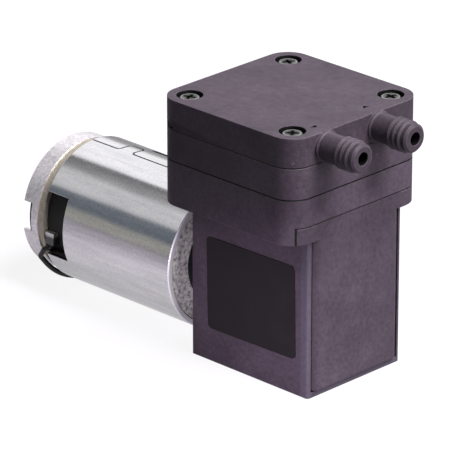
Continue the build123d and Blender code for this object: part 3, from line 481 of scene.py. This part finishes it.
def stripes(colour, rough):
    """Metal wound or stacked in fine layers along X."""
    def build(g):
        wave = g.add("ShaderNodeTexWave", wave_type="BANDS", bands_direction="X")
        g.put(wave, "Vector", g.place())
        wave.inputs["Scale"].default_value = 1 / STRIPE_L
        wave.inputs["Distortion"].default_value = 0.4
        tone = g.ramp(wave.outputs["Fac"], (0.2, tuple(c * 0.55 for c in colour)), (0.6, colour))
        g.surface(Base_Color=tone, Metallic=0.9, Roughness=rough,
                  Normal=g.bump(wave.outputs["Fac"], 0.6, 0.1))
    return build


FINISHES = {
    "moulding": moulding,
    "label": label_film,
    "plated_steel": plated_steel,
    "band_steel": band_steel,
    "can_steel": can_steel,
    "screw_steel": screw_steel,
    "cast_alloy": machined((0.66, 0.66, 0.67), (0.42, 0.55)),
    "bearing_steel": machined((0.74, 0.74, 0.75), (0.16, 0.24)),
    "bright_metal": lug_metal,
    "brass_blade": machined((0.80, 0.64, 0.32), (0.25, 0.38)),
    "copper_bar": machined((0.80, 0.44, 0.27), (0.24, 0.36)),
    "sintered_bronze": machined((0.56, 0.42, 0.24), (0.45, 0.60)),
    "solder": machined((0.76, 0.76, 0.75), (0.25, 0.40)),
    "lamination": stripes((0.34, 0.34, 0.36), 0.45),
    "copper_wire": stripes((0.66, 0.28, 0.12), 0.35),
    "rubber": dull((0.030, 0.030, 0.031), 0.70),
    "rod_plastic": dull((0.050, 0.050, 0.052), 0.55),
    "bell_plastic": dull((0.006, 0.005, 0.006), 0.60),
    "ferrite": dull((0.070, 0.070, 0.074), 0.60),
    "carbon": dull((0.040, 0.040, 0.040), 0.65),
    "lead_jacket": dull((0.006, 0.006, 0.007), 0.24, 0.05),
}
MATERIALS = {name: material(name, build) for name, build in FINISHES.items()}
OWN_FINISH = {"rear_band": "band_steel"}    # nodes that look unlike the rest of their slot


def dress_frame():
    """Gives every CAD node its own finish, or its slot's."""
    for part in frame["record"]["subparts"]:
        finish = OWN_FINISH.get(part["node"], part["material_slot"])
        data = frame["nodes"][part["node"]].data
        data.materials.clear()
        data.materials.append(MATERIALS[finish])


# ---- the diaphragm, split where the rod clamps it ----
def membrane_heights(radius):
    """Lower and upper height of the diaphragm at a radius: flat middle, sloping web, flat rim."""
    low, top = MEMBRANE_LOW.z, MEMBRANE_HIGH.z
    part = min(max((radius - MEMBRANE_PAD_R) / (MEMBRANE_WEB_R - MEMBRANE_PAD_R), 0), 1)
    lower = low + (top - MEMBRANE_RIM_T - low) * part
    upper = low + MEMBRANE_T + (top - low - MEMBRANE_T) * part
    return lower, upper


def membrane_ring(name, body, radii):
    """A turned ring of the diaphragm through these radii, riding on a body."""
    section = [(radius, membrane_heights(radius)[0]) for radius in radii]
    section += [(radius, membrane_heights(radius)[1]) for radius in reversed(radii)]
    mesh = bmesh.new()
    loops = []
    for step in range(MEMBRANE_STEPS):
        angle = 2 * math.pi * step / MEMBRANE_STEPS
        loops.append([mesh.verts.new((r * math.cos(angle), r * math.sin(angle), z)) for r, z in section])
    for loop, following in zip(loops, loops[1:] + loops[:1]):
        for index in range(len(section)):
            after = (index + 1) % len(section)
            mesh.faces.new((loop[index], following[index], following[after], loop[after]))
    bmesh.ops.recalc_face_normals(mesh, faces=mesh.faces)
    data = bpy.data.meshes.new(name)
    mesh.to_mesh(data)
    mesh.free()
    data.materials.append(MATERIALS["rubber"])
    piece = bpy.data.objects.new(name, data)
    bpy.context.scene.collection.objects.link(piece)
    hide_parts("diaphragm")
    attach(piece, body)


# ---- studio ----
def studio_floor():
    """A pale floor that shows white to the camera and keeps the object's shadow."""
    bpy.ops.mesh.primitive_circle_add(vertices=96, radius=3.0, fill_type="NGON", location=(0, 0, -0.0002))
    floor = bpy.context.object
    floor.name = "studio_floor"

    def build(g):
        path = g.add("ShaderNodeLightPath")
        mirrored = g.largest(path.outputs["Is Glossy Ray"], path.outputs["Is Transmission Ray"])
        away = g.add("ShaderNodeVectorMath", operation="LENGTH")
        g.put(away, 0, g.place())
        pool = g.ramp(away.outputs["Value"], (0.07, 0.50), (0.16, 0.24))
        strength = g.math("ADD", g.math("MULTIPLY", path.outputs["Is Camera Ray"], 0.89),
                          g.product(mirrored, pool))
        matte = g.add("ShaderNodeBsdfDiffuse")
        matte.inputs["Color"].default_value = (0.17, 0.150, 0.180, 1)
        light = g.add("ShaderNodeEmission")
        g.put(light, "Strength", strength)
        both = g.add("ShaderNodeAddShader")
        g.put(both, 0, matte.outputs[0])
        g.put(both, 1, light.outputs[0])
        g.put(g.add("ShaderNodeOutputMaterial"), 0, both.outputs[0])
    floor.data.materials.append(material("studio_floor", build))


def studio_world():
    """White to the camera; soft bright and dim bands round the motor's axis for reflections."""
    world = bpy.data.worlds.new("studio")
    bpy.context.scene.world = world
    g = Graph(world)
    path = g.add("ShaderNodeLightPath")
    split = g.add("ShaderNodeSeparateXYZ")
    g.put(split, 0, g.add("ShaderNodeTexCoord").outputs["Generated"])
    angle = g.math("ARCTAN2", split.outputs[2], g.math("MULTIPLY", split.outputs[1], -1.0))
    turn = g.math("ADD", g.math("DIVIDE", angle, 2 * math.pi), 0.5)
    bands = g.ramp(turn, (0.50, (0.255, 0.255, 0.23)), (0.535, (0.255, 0.255, 0.23)),
                   (0.555, (0.10, 0.115, 0.13)), (0.605, (0.12, 0.135, 0.15)), (0.62, 0.46), (0.69, 0.48),
                   (0.71, 0.28), (0.765, 0.11), (0.778, 0.80), (0.95, 0.80), (0.965, 0.32), (1.0, 0.26))
    sky = g.add("ShaderNodeBackground")
    g.put(sky, "Strength", g.math("ADD", 1.0, g.math("MULTIPLY", path.outputs["Is Glossy Ray"], 0.4)))
    g.put(sky, "Color", g.mix(path.outputs["Is Glossy Ray"], (0.034, 0.016, 0.048), bands))
    white = g.add("ShaderNodeBackground")
    white.inputs["Color"].default_value = (1, 1, 1, 1)
    mix = g.add("ShaderNodeMixShader")
    g.put(mix, 0, path.outputs["Is Camera Ray"])
    g.put(mix, 1, sky.outputs[0])
    g.put(mix, 2, white.outputs[0])
    g.put(g.add("ShaderNodeOutputWorld"), 0, mix.outputs[0])


def hang(name, data, place, target):
    """Puts a light in the scene, facing the target."""
    made = bpy.data.objects.new(name, data)
    bpy.context.scene.collection.objects.link(made)
    made.location = place
    made.rotation_euler = (Vector(target) - Vector(place)).to_track_quat("-Z", "Y").to_euler()


def lamp(name, place, size, power):
    """A soft area lamp that faces the object."""
    data = bpy.data.lights.new(name, "AREA")
    data.shape = "DISK"
    data.size = size
    data.energy = power
    hang(name, data, place, LAMPS_AIM)


def glow(name, place, target, power, spread):
    """A small soft spot light, faintly violet; spread in degrees."""
    data = bpy.data.lights.new(name, "SPOT")
    data.energy = power
    data.spot_size = math.radians(spread)
    data.spot_blend = 1.0
    data.shadow_soft_size = 0.015
    data.color = (0.94, 0.84, 1.0)
    hang(name, data, place, target)


def camera():
    """The camera at the photograph's viewing angle."""
    level = math.cos(CAMERA_ELEVATION)
    back = Vector((math.sin(CAMERA_AZIMUTH) * level, -math.cos(CAMERA_AZIMUTH) * level,
                   math.sin(CAMERA_ELEVATION)))
    right = Vector((math.cos(CAMERA_AZIMUTH), math.sin(CAMERA_AZIMUTH), 0))
    up = back.cross(right)
    data = bpy.data.cameras.new("camera")
    data.sensor_width = 36.0
    data.lens = CAMERA_LENS
    data.clip_end = 20.0
    made = bpy.data.objects.new("camera", data)
    bpy.context.scene.collection.objects.link(made)
    made.matrix_world = Matrix((right, up, back)).transposed().to_4x4()
    made.location = back * CAMERA_BACK - right * CAMERA_LEFT + up * CAMERA_UP
    bpy.context.scene.camera = made


dress_frame()
membrane_ring("diaphragm_middle", "rod", (MEMBRANE_HOLE_R, MEMBRANE_PAD_R))
membrane_ring("diaphragm_web", "pump_body", (MEMBRANE_PAD_R, MEMBRANE_WEB_R, MEMBRANE_HIGH.x))
studio_floor()
studio_world()
lamp("key", (0.42, 0.06, 0.80), 0.50, 13.6)
lamp("front_fill", (0.95, -0.02, 0.25), 0.5, 4.0)
glow("side_glow", (0.055, -0.105, 0.026), (0.014, -0.0167, 0.012), 0.44, 46)
glow("can_glow", (0.030, -0.120, 0.020), (-0.025, -0.019, 0.020), 0.36, 11)
camera()
bpy.context.scene.view_settings.view_transform = "Standard"
